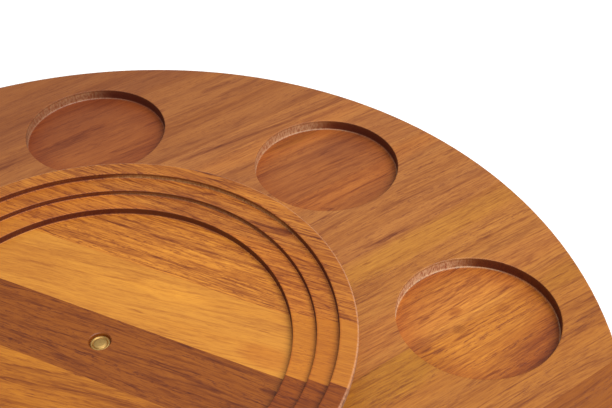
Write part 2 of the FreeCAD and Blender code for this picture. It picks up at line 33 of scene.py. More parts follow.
class Graph:
    """Short spellings for the nodes of one tree."""

    def __init__(self, tree):
        self.tree = tree

    def node(self, kind, **settings):
        n = self.tree.nodes.new(kind)
        for key, value in settings.items():
            setattr(n, key, value)
        return n

    def put(self, socket, value):
        if isinstance(value, Num):
            value = value.s
        if isinstance(value, bpy.types.NodeSocket):
            self.tree.links.new(value, socket)
        elif socket.type == "RGBA" and len(value) == 3:
            socket.default_value = (*value, 1.0)
        else:
            socket.default_value = value

    def math(self, op, *args, clamp=False):
        n = self.node("ShaderNodeMath", operation=op, use_clamp=clamp)
        for socket, value in zip(n.inputs, args):
            self.put(socket, value)
        return Num(self, n.outputs[0])

    def step(self, value, low, high, to_low=0.0, to_high=1.0):
        """Smoothly from to_low to to_high while value goes from low to high."""
        n = self.node("ShaderNodeMapRange", interpolation_type="SMOOTHSTEP")
        for i, v in enumerate((value, low, high, to_low, to_high)):
            self.put(n.inputs[i], v)
        return Num(self, n.outputs[0])

    def line(self, value, low, high, to_low=0.0, to_high=1.0):
        n = self.node("ShaderNodeMapRange", clamp=True)
        for i, v in enumerate((value, low, high, to_low, to_high)):
            self.put(n.inputs[i], v)
        return Num(self, n.outputs[0])

    def vector(self, x, y, z):
        n = self.node("ShaderNodeCombineXYZ")
        for socket, value in zip(n.inputs, (x, y, z)):
            self.put(socket, value)
        return n.outputs[0]

    def split(self, vec):
        n = self.node("ShaderNodeSeparateXYZ")
        self.put(n.inputs[0], vec)
        return [Num(self, o) for o in n.outputs]

    def noise(self, vec, detail=2.0, rough=0.5, scale=1.0, distortion=0.0):
        n = self.node("ShaderNodeTexNoise", noise_dimensions="3D")
        self.put(n.inputs["Vector"], vec)
        self.put(n.inputs["Scale"], scale)
        self.put(n.inputs["Detail"], detail)
        self.put(n.inputs["Roughness"], rough)
        self.put(n.inputs["Distortion"], distortion)
        return Num(self, n.outputs[0])

    def mix(self, factor, a, b, how="MIX"):
        n = self.node("ShaderNodeMix", data_type="RGBA", blend_type=how)
        self.put(n.inputs[0], factor)
        self.put(n.inputs[6], a)
        self.put(n.inputs[7], b)
        return n.outputs[2]


class Num:
    """A float socket that can be added, scaled and so on."""

    def __init__(self, graph, socket):
        self.g, self.s = graph, socket

    def __add__(self, o): return self.g.math("ADD", self, o)
    def __radd__(self, o): return self.g.math("ADD", o, self)
    def __sub__(self, o): return self.g.math("SUBTRACT", self, o)
    def __rsub__(self, o): return self.g.math("SUBTRACT", o, self)
    def __mul__(self, o): return self.g.math("MULTIPLY", self, o)
    def __rmul__(self, o): return self.g.math("MULTIPLY", o, self)
    def __truediv__(self, o): return self.g.math("DIVIDE", self, o)
    def __pow__(self, o): return self.g.math("POWER", self, o)
    def abs(self): return self.g.math("ABSOLUTE", self)
    def fract(self): return self.g.math("FRACT", self)
    def floor(self): return self.g.math("FLOOR", self)
    def sqrt(self): return self.g.math("SQRT", self)
    def clamp(self): return self.g.math("ADD", self, 0.0, clamp=True)


def group(name, ins, outs):
    """A node group with its input and output nodes."""
    tree = bpy.data.node_groups.new(name, "ShaderNodeTree")
    kinds = {"f": "NodeSocketFloat", "v": "NodeSocketVector", "c": "NodeSocketColor"}
    for text in ins:
        tree.interface.new_socket(text[2:], in_out="INPUT", socket_type=kinds[text[0]])
    for text in outs:
        tree.interface.new_socket(text[2:], in_out="OUTPUT", socket_type=kinds[text[0]])
    g = Graph(tree)
    into = g.node("NodeGroupInput")
    end = g.node("NodeGroupOutput")
    got = {}
    for text in ins:
        socket = into.outputs[text[2:]]
        got[text[2:]] = Num(g, socket) if text[0] == "f" else socket
    return g, got, end


def use(g, tree, **values):
    n = g.node("ShaderNodeGroup")
    n.node_tree = tree
    for key, value in values.items():
        g.put(n.inputs[key], value)
    return n


# --------------------------------------------------------------------- teak
# Board coordinates are in millimetres: x along the grain, y across the board,
# z up.  The rings are tubes round a log axis that lies beside or below the
# board and leans a little, so that they run out of the surface in long slants.
# All variation is a darkening or lightening of the board's own tone; where the
# wood gets darker it also gets redder.


def streak_group():
    """One long soft streak from a start point along a direction."""
    g, i, end = group("teak_streak", [
        "f x", "f y", "f from x", "f from y", "f along x", "f along y", "f length",
        "f width", "f strength"], ["f mask"])
    dx, dy = i["x"] - i["from x"], i["y"] - i["from y"]
    along = (dx * i["along x"] + dy * i["along y"]) / i["length"] * 2.0 - 1.0
    aside = (dy * i["along x"] - dx * i["along y"]) / i["width"]
    edge = along * along
    mask = (1.0 - aside * aside - edge * edge).clamp()
    g.put(end.inputs[0], mask * i["strength"])
    return g.tree


def grain_group():
    g, i, end = group("teak_grain", [
        "v board", "f seed", "f ring y", "f ring z", "f lean y", "f lean z",
        "f spacing", "f rings", "f bands", "f streaks", "f fine", "f pores", "f flecks",
        "f swirl", "f slant", "f veins"],
        ["f change", "f hue", "f height", "f open"])
    x, y, z = g.split(i["board"])
    shift = i["seed"] * 173.0
    # slow waver of the grain
    slow = g.noise(g.vector((x + shift) / 120.0, (y + shift) / 40.0, z / 40.0), 1.0)
    quick = g.noise(g.vector((x - shift) / 24.0, (y - shift) / 7.0, z / 7.0), 2.0)
    wave = (slow - 0.5) * 9.0 + (quick - 0.5) * (0.5 + i["swirl"])
    yy, zz = y + wave - x * i["slant"], z + (slow - 0.5) * 3.0
    # growth rings: each ends in a thin dark line with the big pores beside it
    ry = yy - i["ring y"] - x * i["lean y"]
    rz = zz - i["ring z"] - x * i["lean z"]
    radius = (ry * ry + rz * rz).sqrt()
    uneven = g.noise(g.vector(radius / (i["spacing"] * 2.6), shift, 3.0), 2.0)
    count = radius / i["spacing"] + uneven * 2.4
    phase = count.fract()
    tone = g.node("ShaderNodeTexWhiteNoise", noise_dimensions="1D")
    g.put(tone.inputs["W"], count.floor() + shift)
    tone = Num(g, tone.outputs[0])
    late = (phase ** 4.5) * g.line(phase, 0.93, 1.0, 1.0, 0.0)
    patchy = g.noise(g.vector((x + shift) / 34.0, (yy + shift) / 5.0, zz / 5.0), 2.0)
    ring = late * (tone * 0.9 + 0.2) * g.step(patchy, 0.30, 0.62, 0.25, 1.15)
    # broad bands, blotches, then streaks down to single fibres
    broad = g.noise(g.vector((x + shift) / 260.0, (yy - shift) / 15.0, zz / 15.0), 1.0)
    blotch = g.noise(g.vector((x - shift) / 36.0, (yy + shift) / 8.0, zz / 8.0), 2.0)
    mid = g.noise(g.vector((x - shift) / 62.0, (yy + shift) / 3.4, zz / 3.4), 2.0, 0.55)
    fine = g.noise(g.vector((x + shift) / 17.0, (yy - shift) / 1.15, zz / 1.15), 2.0, 0.6)
    fibre = g.noise(g.vector((x - shift) / 6.5, (yy + shift) / 0.55, zz / 0.55), 1.0, 0.6)
    thread = g.noise(g.vector((x - shift - 40.0) / 70.0, (yy - shift + 9.0) / 1.05, zz / 1.05), 1.5, 0.6)
    vein = g.noise(g.vector((x + shift + 15.0) / 24.0, (yy - shift) / 1.05, zz / 1.05), 2.0, 0.6)
    veins = g.step(vein, 0.54, 0.70) * g.step(blotch, 0.35, 0.6, 0.3, 1.1)
    # thin unbroken lines: the level lines of a long, narrow noise
    contour = g.noise(g.vector((x + shift) / 85.0, (yy - shift + 3.0) / 4.5, zz / 4.5), 1.0, 0.5)
    drawn = g.step((contour - 0.5).abs(), 0.024, 0.006) * g.step(patchy, 0.32, 0.6, 0.15, 1.1)
    change = (
        (broad - 0.5) * i["bands"] + (blotch - 0.5) * i["bands"] * 0.5
        + (mid - 0.5) * i["streaks"]
        + (fine - 0.5) * i["fine"] + (fibre - 0.5) * i["fine"] * 1.35
        + (thread - 0.5) * i["fine"] * 0.9
        - ring * i["rings"] - (veins + drawn) * i["veins"]
    )
    # pores: short ragged dashes, more of them where a ring starts
    crowd = g.line(phase, 0.0, 0.55, 1.0, 0.35) * g.step(blotch, 0.3, 0.6, 0.55, 1.1)
    little = g.noise(g.vector((x + shift + 60.0) / 2.4, (yy + 11.0) / 0.46, (zz - shift) / 0.46), 1.0, 0.5)
    longer = g.noise(g.vector((x + shift - 90.0) / 7.5, (yy + 31.0) / 0.72, (zz + shift) / 0.72), 1.5, 0.55)
    pore = (g.step(little, 0.56, 0.68) * 0.72 + g.step(longer, 0.58, 0.72) * 0.8) * crowd
    fleck = g.step(g.noise(g.vector((x - shift + 30.0) / 7.5, (yy + 71.0) / 0.7, (zz - shift) / 0.7), 1.0), 0.60, 0.76)
    change = change - pore * i["pores"] * 0.42 + fleck * i["flecks"] * 0.14
    hue = g.noise(g.vector((x - shift) / 190.0, (yy + shift) / 11.0, zz / 11.0), 2.0) - 0.5
    g.put(end.inputs["change"], change)
    g.put(end.inputs["hue"], hue)
    g.put(end.inputs["height"], (fibre - 0.5) * 0.5 + (fine - 0.5) * 0.4 - pore)
    g.put(end.inputs["open"], pore)
    return g.tree


STREAK = streak_group()
GRAIN = grain_group()


# dark colour of recess and step walls: end grain, and also painted shade on the walls turned away from the key lamp
DARK_WALL = (84, 27, 10)


def scaled(g, colour, factor, by):
    """The colour times by, as far as factor says."""
    return g.mix(factor, colour, g.mix(1.0, colour, by, "MULTIPLY"))


def teak(name, angle, seed, tone, ring=(0.0, -60.0), lean=(0.0, 0.0), spacing=5.0, rings=0.32,
         bands=0.60, streaks=0.52, fine=0.62, pores=1.3, flecks=0.5, swirl=0.0, slant=0.0, veins=0.22,
         marks=(), lights=(), tones=(), levels=(), floors=None, walls=(), within=215.0,
         shy_side=(0.72, 0.30), shy_colour=(160, 92, 60, 236, 192, 146), one_sided=True,
         rim=None, feet=(), gloss=0.42):
    """A board's material.
    tone      its mean colour, linear
    marks     dark streaks (x, y, x2, y2, width, strength); lights are pale ones
    tones     soft patches (x, y, half length, half width, r, g, b), and "deep"
              for one that lies on a recess floor only
    levels    (low, high, r, g, b): a tint that comes in between two heights
    floors    (r, g, b) for recess floors, (r, g, b) of painted shade beside their walls, added contrast
    walls     (z below, z above, paleness, darkness of end grain, of side grain,
          strength of a painted highlight along the bottom), all inside the radius
          within; paleness is partly painted light and darkness partly painted shade
    rim       (radius, r, g, b, amount) for a painted sheen on the outer edge
    feet      radii of step feet, each with a thin ring of painted shade on the floor"""
    mat = bpy.data.materials.new(name)
    mat.use_nodes = True
    g = Graph(mat.node_tree)
    for n in list(mat.node_tree.nodes):
        mat.node_tree.nodes.remove(n)
    place = g.node("ShaderNodeTexCoord")
    turn = g.node("ShaderNodeVectorRotate", rotation_type="Z_AXIS")
    g.put(turn.inputs["Vector"], place.outputs["Object"])
    turn.inputs["Angle"].default_value = -math.radians(angle)
    scale = g.node("ShaderNodeVectorMath", operation="SCALE")
    g.put(scale.inputs[0], turn.outputs[0])
    scale.inputs["Scale"].default_value = 1000.0
    board = scale.outputs[0]
    x, y, z = g.split(board)
    wood = use(g, GRAIN, **{
        "board": board, "seed": seed, "ring y": ring[0], "ring z": ring[1],
        "lean y": lean[0], "lean z": lean[1], "spacing": spacing, "rings": rings,
        "bands": bands, "streaks": streaks, "fine": fine, "pores": pores, "flecks": flecks,
        "swirl": swirl, "slant": slant, "veins": veins})
    change = Num(g, wood.outputs["change"])
    hue = Num(g, wood.outputs["hue"])
    sway = g.noise(g.vector((x + seed * 31.0) / 22.0, (y + seed * 17.0) / 10.0, z / 10.0), 2.0)
    rag = g.noise(g.vector((x - seed * 31.0) / 6.0, (y + seed * 17.0) / 0.8, z / 0.8), 2.0)
    wy = y + (sway - 0.5) * 2.6 + (rag - 0.5) * 1.3
    for group_of, sign in ((marks, -0.75), (lights, 0.35)):
        total = None
        for (x1, y1, x2, y2, width, strength) in group_of:
            long = math.hypot(x2 - x1, y2 - y1)
            n = use(g, STREAK, **{
                "x": x, "y": wy, "from x": x1, "from y": y1,
                "along x": (x2 - x1) / long, "along y": (y2 - y1) / long,
                "length": long, "width": width, "strength": strength})
            mask = Num(g, n.outputs[0])
            total = mask if total is None else total + mask
        if total is not None:
            change = change + total * g.step(rag, 0.25, 0.65, 0.35, 1.2) * sign
    # pale wood with dark lines in it: the bright side is held back
    change = g.math("MINIMUM", change, 0.0) * 1.22 + g.math("MAXIMUM", change, 0.0) * 0.62
    if floors:
        # the nearest of the eight recesses, in polar steps of 45 degrees
        X, Y, Z = g.split(place.outputs["Object"])
        away = (X * X + Y * Y).sqrt() * 1000.0
        angle_here = g.math("ARCTAN2", Y, X)
        step = math.pi / 4
        spare = angle_here - g.math("ROUND", angle_here / step) * step
        across = away * g.math("SINE", spare)
        out = away * g.math("COSINE", spare) - 172.1
        near = (across * across + out * out).sqrt()
        deep = g.step(z, 46.4, 44.0) * g.step(z, 40.2, 41.0) * g.step(near, 39.6, 39.0)
        change = change * (deep * floors[6] + 1.0)
    shade = [g.math("EXPONENT", change * k) for k in (0.74, 1.06, 0.98)]
    shade[1] = shade[1] * (hue * 0.10 + 1.0)
    shade[2] = shade[2] * (hue * 0.45 + 1.0)
    colour = g.mix(1.0, tone, g.vector(*shade), "MULTIPLY")
    for (x1, y1, half_long, half_wide, r, gr, b, *below) in tones:
        dx, dy = (x - x1) / half_long, (wy - y1) / half_wide
        here = g.step((dx * dx + dy * dy).sqrt(), 1.0, 0.45)
        if below:
            here = here * deep
        colour = scaled(g, colour, here, (r, gr, b))
    if floors:
        colour = scaled(g, colour, deep, floors[:3])
        # painted shade: the recess floors darken towards their walls
        colour = scaled(g, colour, deep * g.step(near, 20.0, 38.4), floors[3:6])
    face = g.node("ShaderNodeVectorRotate", rotation_type="Z_AXIS")
    g.put(face.inputs["Vector"], place.outputs["Normal"])
    face.inputs["Angle"].default_value = -math.radians(angle)
    fx, fy, fz = g.split(face.outputs[0])
    # painted shade: a thin darker ring on the floor where each step rises
    if feet:
        X, Y, Z = g.split(place.outputs["Object"])
        away = (X * X + Y * Y).sqrt() * 1000.0 + (rag - 0.5) * 1.2
        painted_step_shade = None
        for radius in feet:
            one = g.step(away, radius - 1.8, radius - 0.2) * g.step(away, radius + 1.1, radius + 0.7)
            painted_step_shade = one if painted_step_shade is None else painted_step_shade + one
        colour = scaled(g, colour, (painted_step_shade * g.step(fz, 0.3, 0.7)).clamp(), (0.95, 0.88, 0.82))
    for (low, high, r, gr, b) in levels:
        colour = scaled(g, colour, g.step(z, low, high), (r, gr, b))
    # upright faces: end grain drinks oil and goes dark, torn side grain is pale. These are also painted light and
    # shade: on recess walls the side facing the key lamp is pale and the side turned away is dark, and the platter's
    # step walls are darkened all round
    along = fx.abs()
    upright = g.step(fz.abs(), 0.85, 0.45)
    torn = g.noise(g.vector(x / 0.9, y / 0.9, z / 2.6), 3.0, 0.7)
    fuzz = g.step(torn, 0.30, 0.70, 0.35, 1.1)
    X, Y, Z = g.split(place.outputs["Object"])
    cut = (g.step(fx, 0.35, 0.85) + g.step(fx, -0.75, -1.0)) * upright * g.step((X * X + Y * Y).sqrt(), 0.006, 0.008)
    colour = scaled(g, colour, cut, (0.42, 0.31, 0.26))
    if walls:
        X, Y, Z = g.split(place.outputs["Object"])
        inner = g.step((X * X + Y * Y).sqrt() * 1000.0, within + 1.0, within) * upright
        tears = g.step(torn, 0.28, 0.72)
        # torn side grain, a little lighter where the tears catch the light; the pale colour also stands for a painted
        # highlight on the lit walls
        torn_grain_and_highlight = g.mix(tears, linear(*shy_colour[:3]), linear(*shy_colour[3:]))
        side = g.step(fx if one_sided else along, *shy_side)
    for (below, above, pale, dark, shy, foot_highlight) in walls:
        inside = g.step(z, below - 0.3, below + 0.3) * g.step(z, above + 0.3, above - 0.3) * inner
        colour = g.mix((inside * ((1.0 - side) * dark + side * shy) * (torn * 0.5 + 0.75)).clamp(), colour, linear(*DARK_WALL))
        colour = g.mix((inside * side * pale).clamp(), colour, torn_grain_and_highlight)
        # painted highlight: a near-white line along the bottom of the lit walls, where the rounded corner catches the
        # key lamp
        if foot_highlight:
            low = g.step(z, below - 0.2, below) * g.step(z, below + 0.9, below + 0.4) * inner
            colour = g.mix((low * foot_highlight * g.step(side, 0.0, 0.3, 0.25, 1.0) * fuzz).clamp(), colour, linear(250, 228, 184))
    # painted sheen: a pale band on the rounded outer edge, where it reflects the bright surroundings
    if rim:
        X, Y, Z = g.split(place.outputs["Object"])
        away = (X * X + Y * Y).sqrt() * 1000.0
        rim_sheen = g.step(away, rim[0] - 0.25, rim[0] + 0.25) * rim[4]
        colour = g.mix(rim_sheen * fuzz, colour, linear(*rim[1:4]))
    shader = g.node("ShaderNodeBsdfPrincipled")
    g.put(shader.inputs["Base Color"], colour)
    g.put(shader.inputs["Roughness"], (gloss + Num(g, wood.outputs["open"]) * 0.18 + (rag - 0.5) * 0.16 + cut * 0.14).clamp())
    shader.inputs["IOR"].default_value = 1.46
    bump = g.node("ShaderNodeBump")
    bump.inputs["Strength"].default_value = 0.4
    bump.inputs["Distance"].default_value = 0.00008
    g.put(bump.inputs["Height"], wood.outputs["height"])
    g.put(shader.inputs["Normal"], bump.outputs[0])
    out = g.node("ShaderNodeOutputMaterial")
    mat.node_tree.links.new(shader.outputs[0], out.inputs[0])
    return mat


def dress(node, mat):
    """Put a material on every slot of a CAD node."""
    obj = nodes[node]
    if not obj.material_slots:
        obj.data.materials.append(mat)
    for s in obj.material_slots:
        s.material = mat


TRAY_GRAIN, PLATTER_GRAIN = 117.7, 56.0

# mean colour of each board, linear light
TONE = {
    "tray_1": (0.2909, 0.0903, 0.0226),
    "tray_2": (0.3450, 0.1144, 0.0267),
    "tray_3": (0.4039, 0.1435, 0.0343),
    "tray_4": (0.4114, 0.1480, 0.0328),
    "tray_5": (0.4161, 0.1492, 0.0266),
    "tray_6": (0.3918, 0.1330, 0.0189),
    "tray_7": (0.2858, 0.0792, 0.0068),
    "tray_8": (0.4039, 0.1435, 0.0343),
    "platter_1": (0.4412, 0.1420, 0.0194),
    "platter_2": (0.5544, 0.1915, 0.0215),
    "platter_3": (0.5952, 0.2318, 0.0286),
    "platter_4": (0.2684, 0.0701, 0.0060),
    "platter_5": (0.4100, 0.1282, 0.0096),
    "platter_6": (0.4412, 0.1420, 0.0194),
    "platter_7": (0.5544, 0.1915, 0.0215),
}
DARK_FLOOR = (0.87, 0.71, 0.66, 0.84, 0.70, 0.62, 0.05)
WARM_FLOOR = (0.885, 0.76, 0.70, 0.86, 0.76, 0.66, 0.0)
GOLD_FLOOR = (1.18, 1.14, 0.90, 0.78, 0.64, 0.56, 0.5)
# Recess walls by floor kind: a band under the lip, then the rest of the wall. The darker band under the lip is painted
# shade, and the pale and dark sides are partly grain and partly painted light and shade.
WALLS = {
    DARK_FLOOR: ((46.3, 47.1, 0.20, 0.62, 0.45, 0.0), (41.3, 46.3, 0.36, 0.66, 0.12, 0.3)),
    WARM_FLOOR: ((46.3, 47.1, 0.30, 0.62, 0.35, 0.0), (41.3, 46.3, 0.62, 0.64, 0.0, 0.6)),
    GOLD_FLOOR: ((46.5, 47.1, 0.30, 0.62, 0.35, 0.0), (41.3, 46.5, 0.90, 0.62, 0.0, 1.0)),
}


def tray(k, floors, **more):
    dress("tray_stave_%d" % k, teak("teak_tray_%d" % k, TRAY_GRAIN, float(k), TONE["tray_%d" % k],
                                    floors=floors, walls=WALLS[floors], **more))


def platter(k, levels=(), **more):
    # step walls: a darker band under each lip as painted shade, the rest nearly all dark, partly end grain and partly
    # painted shade; the rim carries a painted sheen
    dress("platter_stave_%d" % k, teak(
        "teak_platter_%d" % k, PLATTER_GRAIN, 10.0 + k, TONE["platter_%d" % k], levels=levels,
        walls=((68.1, 69.2, 0.10, 0.90, 0.75, 0.0), (66.3, 68.1, 0.60, 0.88, 0.35, 0.0),
               (65.3, 66.3, 0.05, 0.92, 0.85, 0.0), (63.7, 65.3, 0.30, 0.92, 0.80, 0.0), (60.2, 63.7, 0.05, 0.97, 0.97, 0.0)),
        within=109.5, shy_side=(0.52, 0.38), shy_colour=(128, 80, 42, 194, 152, 98), one_sided=False,
        feet=(84.5, 95.0, 104.9),
        rim=(112.6, 206, 154, 118, 0.62), **more))


tray(1, DARK_FLOOR, veins=0.14, fine=0.42, pores=1.0, streaks=0.6, ring=(-250, -30), spacing=4.5, bands=0.85)
tray(2, DARK_FLOOR, veins=0.20, fine=0.46, pores=1.1, streaks=0.6, ring=(-90, -70), spacing=6.0, bands=0.9,
     marks=[(-185, -138, -148, -138, 1.8, 0.55), (-168, -146.5, -146, -147.5, 3.0, 0.55), (-196, -150, -184, -150, 1.6, 0.35),
            (-93, -160.8, -41, -160.6, 2.4, 0.66), (-41, -152.8, 24, -151.5, 1.5, 0.75), (-80, -158.5, -60, -158.5, 1.2, 0.3), (-122, -146, -106, -146, 2.2, 0.5),
            (-58, -172, -44, -171.5, 1.6, 0.4), (-205, -120, -150, -121, 1.0, 0.12)],
     lights=[(-112, -138, -48, -138.5, 1.0, 0.55), (-88, -165, -55, -166, 1.4, 0.4), (-100, -152.5, -84, -152, 1.2, 0.3)],
     tones=[(-84, -170, 44, 16, 0.93, 0.88, 0.84, "deep"), (-84, -124, 36, 11, 1.14, 1.18, 1.16, "deep"), (-56, -140, 16, 12, 1.08, 1.12, 1.12, "deep")])
tray(3, WARM_FLOOR, slant=-0.05, veins=0.26, fine=0.46, pores=1.0, streaks=0.85, bands=1.0, ring=(-20, -80), spacing=6.5,
     marks=[(-222, -74, -196, -74, 0.7, 0.5), (-205, -92, -95, -101, 1.5, 0.70),
            (-215, -95, -165, -97.5, 1.2, 0.25), (-220, -54, -140, -57, 1.6, 0.16)],
     lights=[(-192, -78, -150, -78, 2.2, 0.75), (-172, -57, -158, -57, 2.4, 0.35)],
     tones=[(-150, -57, 130, 13, 0.96, 0.95, 0.98), (-160, -84, 120, 9, 1.06, 1.02, 0.92),
            (-186, -62, 24, 14, 0.86, 0.82, 0.88, "deep"), (-168, -85, 24, 5.5, 0.88, 0.92, 0.70, "deep"),
            (-146, -72, 20, 14, 1.07, 1.10, 1.04, "deep")])
tray(4, WARM_FLOOR, slant=-0.02, veins=0.26, fine=0.54, bands=0.75, ring=(-110, -50), spacing=5.5, lean=(0.03, 0.0), pores=1.4,
     marks=[(-172, 15.2, -138, 12.8, 1.3, 0.5), (-160, 14.2, -145, 13.4, 1.6, 0.4), (-143, 11.6, -132, 10.8, 0.9, 0.3),
            (-210, 15, -194, 14.5, 0.6, 0.5), (-190, -4, -162, -5, 0.5, 0.35),
            (-214, -17.5, -200, -18, 0.7, 0.5), (-214, -26.5, -190, -26.8, 0.8, 0.5),
            (-190, -22, -165, -23, 0.6, 0.25), (-160, 2, -120, 0, 0.8, 0.2),
            (-194, -30.2, -146, -30.4, 0.9, 0.75), (-150, -24, -143, -30, 1.2, 0.5), (-162, -51.5, -142, -50.5, 1.6, 0.4),
            (-196, -55, -190, -55, 1.4, 0.4)],
     lights=[(-185, -33, -134, -34, 2.4, 0.6)],
     tones=[(-178, -24, 24, 6.5, 0.93, 0.90, 0.92, "deep"), (-150, -35, 130, 10, 1.06, 1.0, 0.88)])
tray(5, GOLD_FLOOR, slant=-0.03, veins=0.30, fine=0.70, ring=(60, -150), spacing=8.0, rings=0.2, bands=0.85, streaks=0.6,
     marks=[(-224, 45, -186, 43, 1.0, 0.45), (-196, 43, -178, 42.5, 0.9, 0.4), (-128, 41.5, -100, 40.5, 0.9, 0.5),
            (-226, 36.5, -182, 35, 1.1, 0.32), (-205, 38.5, -190, 34.5, 0.7, 0.3),
            (-160, 36, -100, 33, 0.9, 0.25), (-150, 33, -112, 31.5, 0.7, 0.22),
            (-200, 62, -190, 62, 0.6, 0.3), (-160, 59, -140, 58, 0.6, 0.2), (-176, 58.5, -158, 58, 1.6, 0.35), (-138, 63.3, -130, 63, 1.2, 0.5),
            (-172, 66, -150, 66.5, 0.6, 0.3)],
     lights=[(-186, 60.5, -172, 60.5, 0.9, 0.5), (-160, 73, -128, 74, 0.9, 0.4)],
     tones=[(-149.5, 67.8, 5, 3.2, 0.72, 0.60, 0.52, "deep"), (-143.4, 77.5, 4.5, 3, 0.76, 0.70, 0.66, "deep"), (-169.3, 79.8, 5, 3.5, 0.86, 0.80, 0.76, "deep"),
            (-160, 25, 130, 9, 1.02, 1.06, 0.84), (-150, 62, 140, 12, 1.02, 0.98, 1.02)])
# on the recess floor, the thin dark patch at (-160, 113.5) is a painted shadow cast by the recess's near lip, and the
# patches at (-172, 108) and (-170, 100) are partly that painted shadow and partly brown figure in the board
tray(6, GOLD_FLOOR, slant=-0.05, veins=0.34, ring=(160, -90), spacing=6.0, rings=0.28, flecks=1.0, pores=1.2,
     marks=[(-205, 112, -180, 110, 1.2, 0.22), (-120, 101.5, -78, 97, 1.2, 0.3), (-130, 87.5, -70, 86.5, 0.6, 0.5),
            (-120, 83, -75, 82, 0.6, 0.3), (-125, 72, -85, 71, 0.9, 0.28), (-118, 93, -84, 91, 0.6, 0.3)],
     lights=[(-162, 91.5, -120, 90, 1.1, 0.7), (-160, 84, -132, 85, 2.2, 0.5), (-182, 93, -160, 92.5, 0.8, 0.45),
             (-150, 80, -122, 79, 1.2, 0.4), (-158, 88, -124, 87, 0.9, 0.4), (-130, 101, -60, 99, 1.4, 0.6), (-125, 94, -80, 93, 1.5, 0.5), (-120, 79, -80, 78, 2.0, 0.45),
             (-212, 86, -185, 85, 1.2, 0.4), (-185, 133, -160, 132.5, 0.6, 0.5), (-150, 125, -120, 124, 0.5, 0.5)],
     tones=[(-95, 84, 40, 16, 0.94, 1.0, 0.62), (-205, 85, 30, 8, 1.0, 1.04, 0.84),
            (-172, 108, 36, 9, 0.84, 0.74, 0.76, "deep"), (-160, 113.5, 34, 5, 0.80, 0.70, 0.72, "deep"),
           (-149.5, 67.8, 5, 3.2, 0.72, 0.60, 0.52, "deep"), (-143.4, 77.5, 4.5, 3, 0.76, 0.70, 0.66, "deep"),
           (-169.3, 79.8, 5, 3.5, 0.86, 0.80, 0.76, "deep"), (-170, 100, 34, 9, 0.84, 0.76, 0.76, "deep"),
           (-196, 110, 16, 2.5, 0.82, 0.76, 0.8)])
tray(7, DARK_FLOOR, ring=(60, -70), spacing=5.0, bands=0.6, fine=0.46, pores=1.0)
tray(8, DARK_FLOOR, ring=(300, -70), spacing=6.0)

LEDGE = 62.2, 63.4
platter(1, slant=0.02, veins=0.62, flecks=0.1, ring=(-190, 0), spacing=4.2, rings=0.45, bands=0.8, pores=2.6, streaks=1.15, fine=1.2, swirl=0.6)
platter(2, slant=0.01, veins=0.42, flecks=0.1, ring=(-150, 10), spacing=5.0, rings=0.5, bands=0.65, pores=2.3, streaks=0.95, fine=1.05, swirl=0.5,
        levels=((*LEDGE, 0.93, 0.85, 0.82), (65.0, 66.0, 0.91, 0.89, 0.87), (68.3, 69.2, 1.01, 1.08, 1.26)),
        marks=[(-58, -57.5, 55, -56, 0.8, 0.55), (-45, -69.5, 66, -68.5, 0.9, 0.85),
               (-64, -70, -38, -70.5, 1.0, 0.7), (-34, -76.5, -18, -77, 1.0, 0.7), (-5, -53, 60, -52.5, 0.6, 0.4),
               (-78, -63, -20, -62, 0.7, 0.5), (0, -63, 62, -62.5, 0.7, 0.5), (-10, -74, 48, -73, 0.8, 0.5),
               (-60, -50.3, 20, -50, 0.6, 0.4), (-20, -79, 40, -79.5, 0.8, 0.55), (-100, -56, -80, -56, 0.8, 0.6),
               (-95, -68, -70, -69, 0.8, 0.45)],
        tones=[(60, -64, 50, 16, 0.92, 0.88, 0.84)])
platter(3, slant=0.11, veins=0.12, ring=(-30, -140), spacing=9.0, rings=0.18, streaks=0.24, pores=0.9, fine=0.42, bands=0.36,
        levels=((*LEDGE, 0.87, 0.74, 0.54), (65.0, 66.0, 0.91, 0.85, 0.80), (68.3, 69.2, 1.0, 1.07, 1.27)),
        marks=[(-36, -44.5, 34, -34, 0.8, 0.30), (20, -35, 72, -27.5, 0.8, 0.30),
               (-8, -46, 40, -38.5, 0.8, 0.28), (-25, -18, -19, -18, 0.5, 0.4),
               (-9, -22.5, -2, -22.5, 0.5, 0.4), (-44, -28.5, -37, -28.5, 0.5, 0.4),
               (-66, -35.5, -60, -35.5, 0.5, 0.4), (30, -22, 80, -17, 1.2, 0.14)],
        tones=[(-14, -39, 30, 7, 1.08, 1.10, 1.06), (-70, -22, 16, 8, 0.90, 0.80, 0.74),
               (-2, -36, 60, 10, 1.05, 1.07, 1.06), (62, -28, 34, 12, 0.92, 0.88, 0.88)])
platter(4, slant=0.01, veins=0.46, flecks=0.3, ring=(-80, -40), spacing=4.2, rings=0.34, pores=2.1, streaks=0.72, fine=0.80, swirl=0.8,
        levels=((*LEDGE, 0.94, 0.805, 0.575), (65.0, 66.0, 0.95, 0.93, 0.92), (68.3, 69.2, 0.98, 0.99, 1.06)),
        marks=[(-15, -10, 56, -6, 0.8, 0.55), (-86, -5, -75, -5, 1.8, 0.75),
               (-46, 12, -36, 12, 0.7, 0.55), (-38, 9, -22, 9, 0.7, 0.5), (-22, 5, -8, 5, 0.6, 0.5),
               (-80, -11, -42, -11, 0.6, 0.45), (-41, -13, -31, -13, 0.6, 0.55), (6, 15.5, 26, 15.5, 0.7, 0.45),
               (20, 4, 62, 6, 0.9, 0.35), (-70, 3, -50, 3.5, 0.8, 0.4), (-60, -8, -52, -8, 0.7, 0.5)])
platter(5, slant=0.12, veins=0.40, ring=(140, -60), spacing=5.5, rings=0.5, streaks=1.2, bands=1.0, fine=0.8,
        marks=[(-8, 20, 34, 29, 0.9, 0.75), (-30, 29, 20, 37, 0.9, 0.35), (-5, 30, 40, 38, 1.4, 0.3)])
platter(6, ring=(60, -60), spacing=5.0)
platter(7, ring=(180, -60), spacing=5.0)
dress("base_disc", teak("teak_base", 30.0, 21.0, (0.330, 0.120, 0.038), ring=(0, -90), spacing=6.0))


# ------------------------------------------------------- metals and plastics


